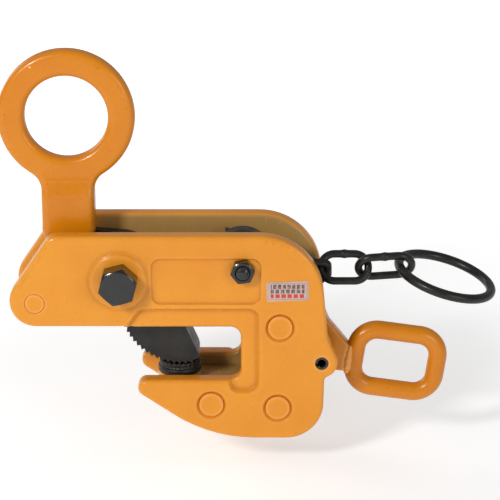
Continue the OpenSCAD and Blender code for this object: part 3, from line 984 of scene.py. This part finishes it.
# The ring's centre is EYE_RISE above the pin, SHANK is half a width, and FACET_Z is where the face slopes.
EYE_R = 41.25
EYE_HOLE = 50
EYE_EDGE = 4.2
EYE_RISE = 84.5
SHANK = 16.0
NECK_R = 13.0
FACET_Z = (46.5, 56.0)
eye_at = shackle_at + (0, EYE_RISE)


def eye_outline():
    """Ring, neck fillets and shank down to the round end at the pin."""
    drop = math.sqrt((EYE_R + NECK_R) ** 2 - (SHANK + NECK_R) ** 2)
    lean = math.degrees(math.atan2(-drop, SHANK + NECK_R))
    ring = arc(eye_at, EYE_R, lean, 180 - lean, 3)
    left = arc(eye_at + (-SHANK - NECK_R, -drop), NECK_R, -lean, 0, 5)
    right = arc(eye_at + (SHANK + NECK_R, -drop), NECK_R, 180, 180 + lean, 5)
    left_foot = shackle_at + [(-SHANK, 18), (-SHANK - 0.2, 15), (-SHANK + 0.4, 12)]
    end = arc(shackle_at, 12.4, 176, 364, 6)
    right_foot = shackle_at + [(SHANK - 0.4, 12), (SHANK + 0.2, 15), (SHANK, 18)]
    return dense(np.vstack((ring, left, left_foot, end, right_foot, right)), 1.6)


def eye_relief(points):
    """The ring stands behind the shank's face, with a rough sloped facet between two ridges at the neck."""
    x, z = points.T
    start, end = FACET_Z
    slope = np.clip((z - start) / (end - start), 0, 1)
    ridges = 0.3 * np.exp(-((z - start) / 0.7) ** 2) + 0.4 * np.exp(-((z - end) / 0.7) ** 2)
    rough = 0.14 * np.sin(2.9 * x + 1.1 * z) * np.sin(2.3 * z - 0.8 * x) * (slope > 0) * (slope < 1)
    return 2.3 * slope - ridges + rough + 0.04 * np.sin(0.3 * x) * np.sin(0.26 * z)


def lifting_eye():
    """Ring and shank in one forging; lines across the neck keep the facet's ridges sharp."""
    across_x = np.arange(-70, 10, 1.4)
    lines = [np.column_stack((across_x, np.full(len(across_x), z + step)))
             for z in FACET_Z for step in (-1.3, -0.6, 0, 0.6, 1.3)]
    holes = [circle(eye_at, EYE_HOLE, 110), circle(shackle_at, SHACKLE_PIN_D + SLIDING, 40)]
    return forging(eye_outline(), holes, *ends("lifting_eye"), EYE_EDGE, [EYE_EDGE, 0.3], relief=eye_relief,
                   relief_in=eye_relief, lines=lines, spacing=1.5, arcs=6)


piece("lifting_eye_forging", lifting_eye(), orange_paint, "lifting_eye", "lifting_eye")

# ---------- release lever, chain and pull ring ----------


def tapered(a, ra, b, rb, step=8):
    """Outline round two circles and the tangents that join them."""
    a, b = np.array(a, float), np.array(b, float)
    heading = math.degrees(math.atan2(b[1] - a[1], b[0] - a[0]))
    lean = math.degrees(math.acos((ra - rb) / np.linalg.norm(b - a)))
    return np.vstack((arc(a, ra, heading + lean, heading + 360 - lean, step),
                      arc(b, rb, heading - lean, heading + lean, step)))


BUSH_D = 12
ARM_Y = 3.5
CHAIN_HOLE = 8
CHAIN_HOLE_AT = (121, -1)


def twisted(shape):
    """The lug thinned and twisted by 35 degrees about its length, over a stretch beside the chain hole."""
    points, faces = shape
    x, y, z = points.T
    middle_z = CHAIN_HOLE_AT[1]
    share = ramp(x - CHAIN_HOLE_AT[0] + 15, 10)
    a = np.radians(35) * share
    y = y * (1 - 0.36 * share)
    z = z - middle_z
    turned = np.column_stack((x, y * np.cos(a) - z * np.sin(a), y * np.sin(a) + z * np.cos(a) + middle_z))
    return turned, faces


def release_lever():
    """Hub, fork arm with a slot for the drive pin, and chain arm with a twisted lug."""
    hub = tube(lever_at, 35, BUSH_D + PRESSED, *ends("lever_bush"), 1.6, 96)
    hub_hole = circle(lever_at, BUSH_D + 1, 40)
    toward = unit(lever_at - drive_at)
    slot_r = DRIVE_PIN_D / 2 + 0.15
    slot = tapered(drive_at - 0.3 * toward, slot_r, drive_at + 1.7 * toward, slot_r, 15)
    fork = dense(tapered(lever_at, 15, drive_at, 5.8), 1.5)
    fork_arm = forging(fork, [slot, hub_hole], -ARM_Y, ARM_Y, 1.0, 0.3, spacing=2.5)
    lug = [(76, 23.5, 3), (96, 18.6, 16), (117.5, 6.2, 5), (128.9, 5.2, 6), (129.2, -8, 5), (121.5, -19.5, 3),
           (114.5, -13, 5), (96, -8, 10), (78, -8, 4)]
    holes = [circle(CHAIN_HOLE_AT, CHAIN_HOLE, 40), hub_hole]
    chain_arm = forging(dense(rounded(lug), 1.3), holes, -ARM_Y, ARM_Y, 1.5, [1.9, 0.3], spacing=1.4)
    return joined(hub, fork_arm, twisted(chain_arm))


lever_bush = tube(lever_at, BUSH_D, LEVER_BOLT_D + SLIDING, *ends("lever_bush"), 0.35)
piece("release_lever_forging", release_lever(), forged_black, "release_lever", "release_lever")
piece("lever_bush_sleeve", lever_bush, bronze, "lever_bush", "release_lever")


def chain_link(length):
    """Link in the XZ plane about the origin, with its weld swelling in the middle of the upper side."""
    half_height = 8.5
    wire_r = 2.4
    side = length / 2 - half_height
    half_link = [(x, half_height) for x in np.linspace(-side, side, 22)]
    half_link += [(side + half_height * math.cos(a), half_height * math.sin(a))
                  for a in np.linspace(math.pi / 2, -math.pi / 2, 26)[1:-1]]
    x, z = np.vstack((half_link, -np.array(half_link))).T
    weld = np.exp(-(x / 1.5) ** 2) * (z > 0)
    return sweep(np.column_stack((x, 0 * x, z)), wire_r * (1 + 0.17 * weld), 22)


def placed(node, *turns):
    """Matrix from the origin to the middle of a CAD node, after turns (axis, degrees) in order."""
    m = Matrix.Identity(4)
    for axis, degrees in turns:
        m = Matrix.Rotation(math.radians(degrees), 4, axis) @ m
    return Matrix.Translation(tuple(middle(node))) @ m


def pull_ring():
    """Bent ring in the XY plane about the origin."""
    od = 65
    wire = 5.8
    count = 120
    a = np.arange(count) * TAU / count
    r = (od - wire) / 2
    return sweep(np.column_stack((r * np.cos(a), r * np.sin(a), 0 * a)), wire / 2, 24)


first_link = moved(chain_link(29.1), placed("chain_link_inner", ("X", -30)))
second_link = moved(chain_link(32.8), placed("chain_link_outer", ("X", 29), ("Y", -4)))
end_ring = moved(pull_ring(), placed("pull_ring", ("X", 4.6), ("Y", 15.7)))
piece("chain_link_one", first_link, chain_black, "chain_link_inner", "chain_link_inner")
piece("chain_link_two", second_link, chain_black, "chain_link_outer", "chain_link_outer")
piece("pull_ring_bent", end_ring, chain_black, "pull_ring", "pull_ring")

# ---------- handle ----------

# The loop's half sizes and corners are measured to the middle of the rod.
ROD = 11.5
LOOP_X = 25.6
LOOP_Z = 18.9
LOOP_CORNER = 13
loop_place = placed("handle_loop", ("Y", 8))


def handle_loop():
    """Rod bent to a rounded rectangle."""
    x, z = dense(rounded(rectangle(LOOP_X, LOOP_Z, LOOP_CORNER)), 2).T
    return moved(sweep(np.column_stack((x, 0 * x, z)), ROD / 2, 32), loop_place)


def handle_arm():
    """Flat arm from the hole for its pin to the rod."""
    corners = [(110.5, -38, 4), (122, -27.5, 4), (140.5, -50.5, 2), (142.5, -68, 3), (124, -66, 6),
               (112, -59, 6)]
    hole = circle(handle_at, HANDLE_PIN_D + SLIDING, 36)
    return forging(dense(rounded(corners), 1.6), [hole], *ends("handle_arm"), 1.8, 0.4, spacing=1.8)


def weld_beads():
    """Uneven fillets of weld along both sides of the joint between arm and rod."""
    t = np.linspace(-1, 1, 60)
    path = np.column_stack((0 * t - LOOP_X - 4.2, 0 * t - 4.6, 9.5 * t - 1.5))
    waves = 0.09 * np.sin(31 * t) + 0.12 * np.sin(13 * t + 1) + 0.25 * np.sin(4 * t + 2)
    radius = (2.3 + waves) * np.sqrt(np.clip(1.02 - t ** 6, 0.02, 1))
    return both_sides(moved(sweep(path, radius, 18, closed=False), loop_place))


piece("handle_loop_rod", handle_loop(), orange_paint, "handle_loop", "handle")
piece("handle_arm_plate", joined(handle_arm(), weld_beads()), orange_paint, "handle_arm", "handle")

# ---------- swivel pad ----------


def jaw_pad():
    """Round pad on a grooved stem, with radial teeth round its rim and a plain dish in the middle."""
    teeth = 24
    tooth_depth = 0.9
    count = teeth * 10
    share_round = np.arange(count) / count
    groove = 1 - np.abs(share_round * teeth % 1 * 2 - 1)
    cut = ramp(groove - 0.35, 0.65)
    base, top = low("jaw_pad")[2], high("jaw_pad")[2]
    flange = PAD_SEAT_Z + 0.1
    rim_height = 4
    rim = top - rim_height
    pin_z = pad_pin_at[1]
    rows = [(4.5, base), (PAD_STEM_R - 0.4, base), (PAD_STEM_R, base + 0.5), (PAD_STEM_R, pin_z - 2.3),
            (4.4, pin_z - 2.2), (4.4, pin_z + 2.2), (PAD_STEM_R, pin_z + 2.3), (PAD_STEM_R, flange),
            (PAD_R - 0.5, flange), (PAD_R, flange + 0.5), (PAD_R, rim - 0.5), (13, rim - 0.05), (12.55, rim)]
    rows += [(12.5 - 0.3 * cut, rim + rim_height * share) for share in (0, 0.5, 0.9)]
    rows += [(r - 0.2 * cut, top - tooth_depth * share * cut)
             for r, share in ((12.3, 1), (11.4, 1), (10, 1), (8.6, 1), (7.6, 0.6), (6.9, 0.15))]
    rows += [(6.5, top), (6.2, top - 0.5), (5.8, top - 1.5), (5.2, top - 1.6), (2.5, top - 1.6)]
    return lathe(middle("jaw_pad")[0], rows, count)


piece("jaw_pad_serrated", jaw_pad(), forged_black, "jaw_pad", "jaw_pad")

# ---------- floor, light and camera, in metres ----------

# How far the floor lies below the part, so that the handle can swing down without touching it.
FLOOR_DROP = 21
WORLD_LIGHT = 0.33


def floor():
    """Pale floor that glows, brighter to the camera than as a light and brighter with distance, so that
    no horizon shows.
    """
    mesh = bpy.data.meshes.new("floor")
    half = 8.0
    corners = [(-half, -half, 0), (half, -half, 0), (half, half, 0), (-half, half, 0)]
    mesh.from_pydata(corners, [], [(0, 1, 2, 3)])
    made = bpy.data.objects.new("floor", mesh)
    made.location = (0.05, 0, cad_low.z - FLOOR_DROP * MM)
    bpy.context.scene.collection.objects.link(made)
    f = Finish("glowing_floor")
    away = f.add("ShaderNodeVectorMath", [(0, f.place)], operation="LENGTH").outputs["Value"]
    seen = f.add("ShaderNodeLightPath").outputs["Is Camera Ray"]
    # Painted light: the floor glows, more to the camera than as a light on the part, and more with distance.
    f.set(f.shader.inputs["Emission Color"], (1, 1, 1, 1))
    glow = f.span(away, 0.2, 1.4, 0.4, 1.0)
    f.set(f.shader.inputs["Emission Strength"], f.span(seen, 0, 1, 0.3, glow))
    mesh.materials.append(f.finish(colour=(0.9, 0.9, 0.9, 1), roughness=0.8, specular=0.1))


def soft_light(name, place, target, size, power):
    """Square area light, its size in metres and its power in watts."""
    data = bpy.data.lights.new(name, "AREA")
    data.shape = "SQUARE"
    data.size = size
    data.energy = power
    made = bpy.data.objects.new(name, data)
    made.location = place
    made.rotation_euler = (Vector(target) - Vector(place)).to_track_quat("-Z", "Y").to_euler()
    bpy.context.scene.collection.objects.link(made)


def studio():
    """White surroundings, dimmer as a light than as a background, and three soft lights."""
    world = bpy.data.worlds.new("studio")
    bpy.context.scene.world = world
    world.use_nodes = True
    tree = world.node_tree
    background = tree.nodes["Background"]
    seen = tree.nodes.new("ShaderNodeLightPath").outputs["Is Camera Ray"]
    strength = tree.nodes.new("ShaderNodeMapRange")
    strength.inputs["To Min"].default_value = WORLD_LIGHT
    strength.inputs["To Max"].default_value = 1.0
    tree.links.new(seen, strength.inputs["Value"])
    tree.links.new(strength.outputs["Result"], background.inputs["Strength"])
    background.inputs["Color"].default_value = (1, 1, 1, 1)
    soft_light("key", (-0.75, -1.1, 0.75), (0.04, 0, -0.02), 0.26, 11.2)
    soft_light("fill", (0.9, -1.1, 0.35), (0.04, 0, -0.02), 0.5, 3.4)
    soft_light("back", (-1.1, 0.9, 0.5), (0.04, 0, 0), 0.8, 5)


def camera():
    """Long lens from the front, looking 18 degrees down."""
    data = bpy.data.cameras.new("camera")
    data.lens = 139.8
    data.sensor_width = 36
    made = bpy.data.objects.new("camera", data)
    made.location = (0.0788, -1.132, 0.378)
    made.rotation_euler = (math.radians(90 - 18), 0, 0)
    bpy.context.scene.collection.objects.link(made)
    bpy.context.scene.camera = made
    bpy.context.scene.view_settings.view_transform = "Standard"


floor()
studio()
camera()
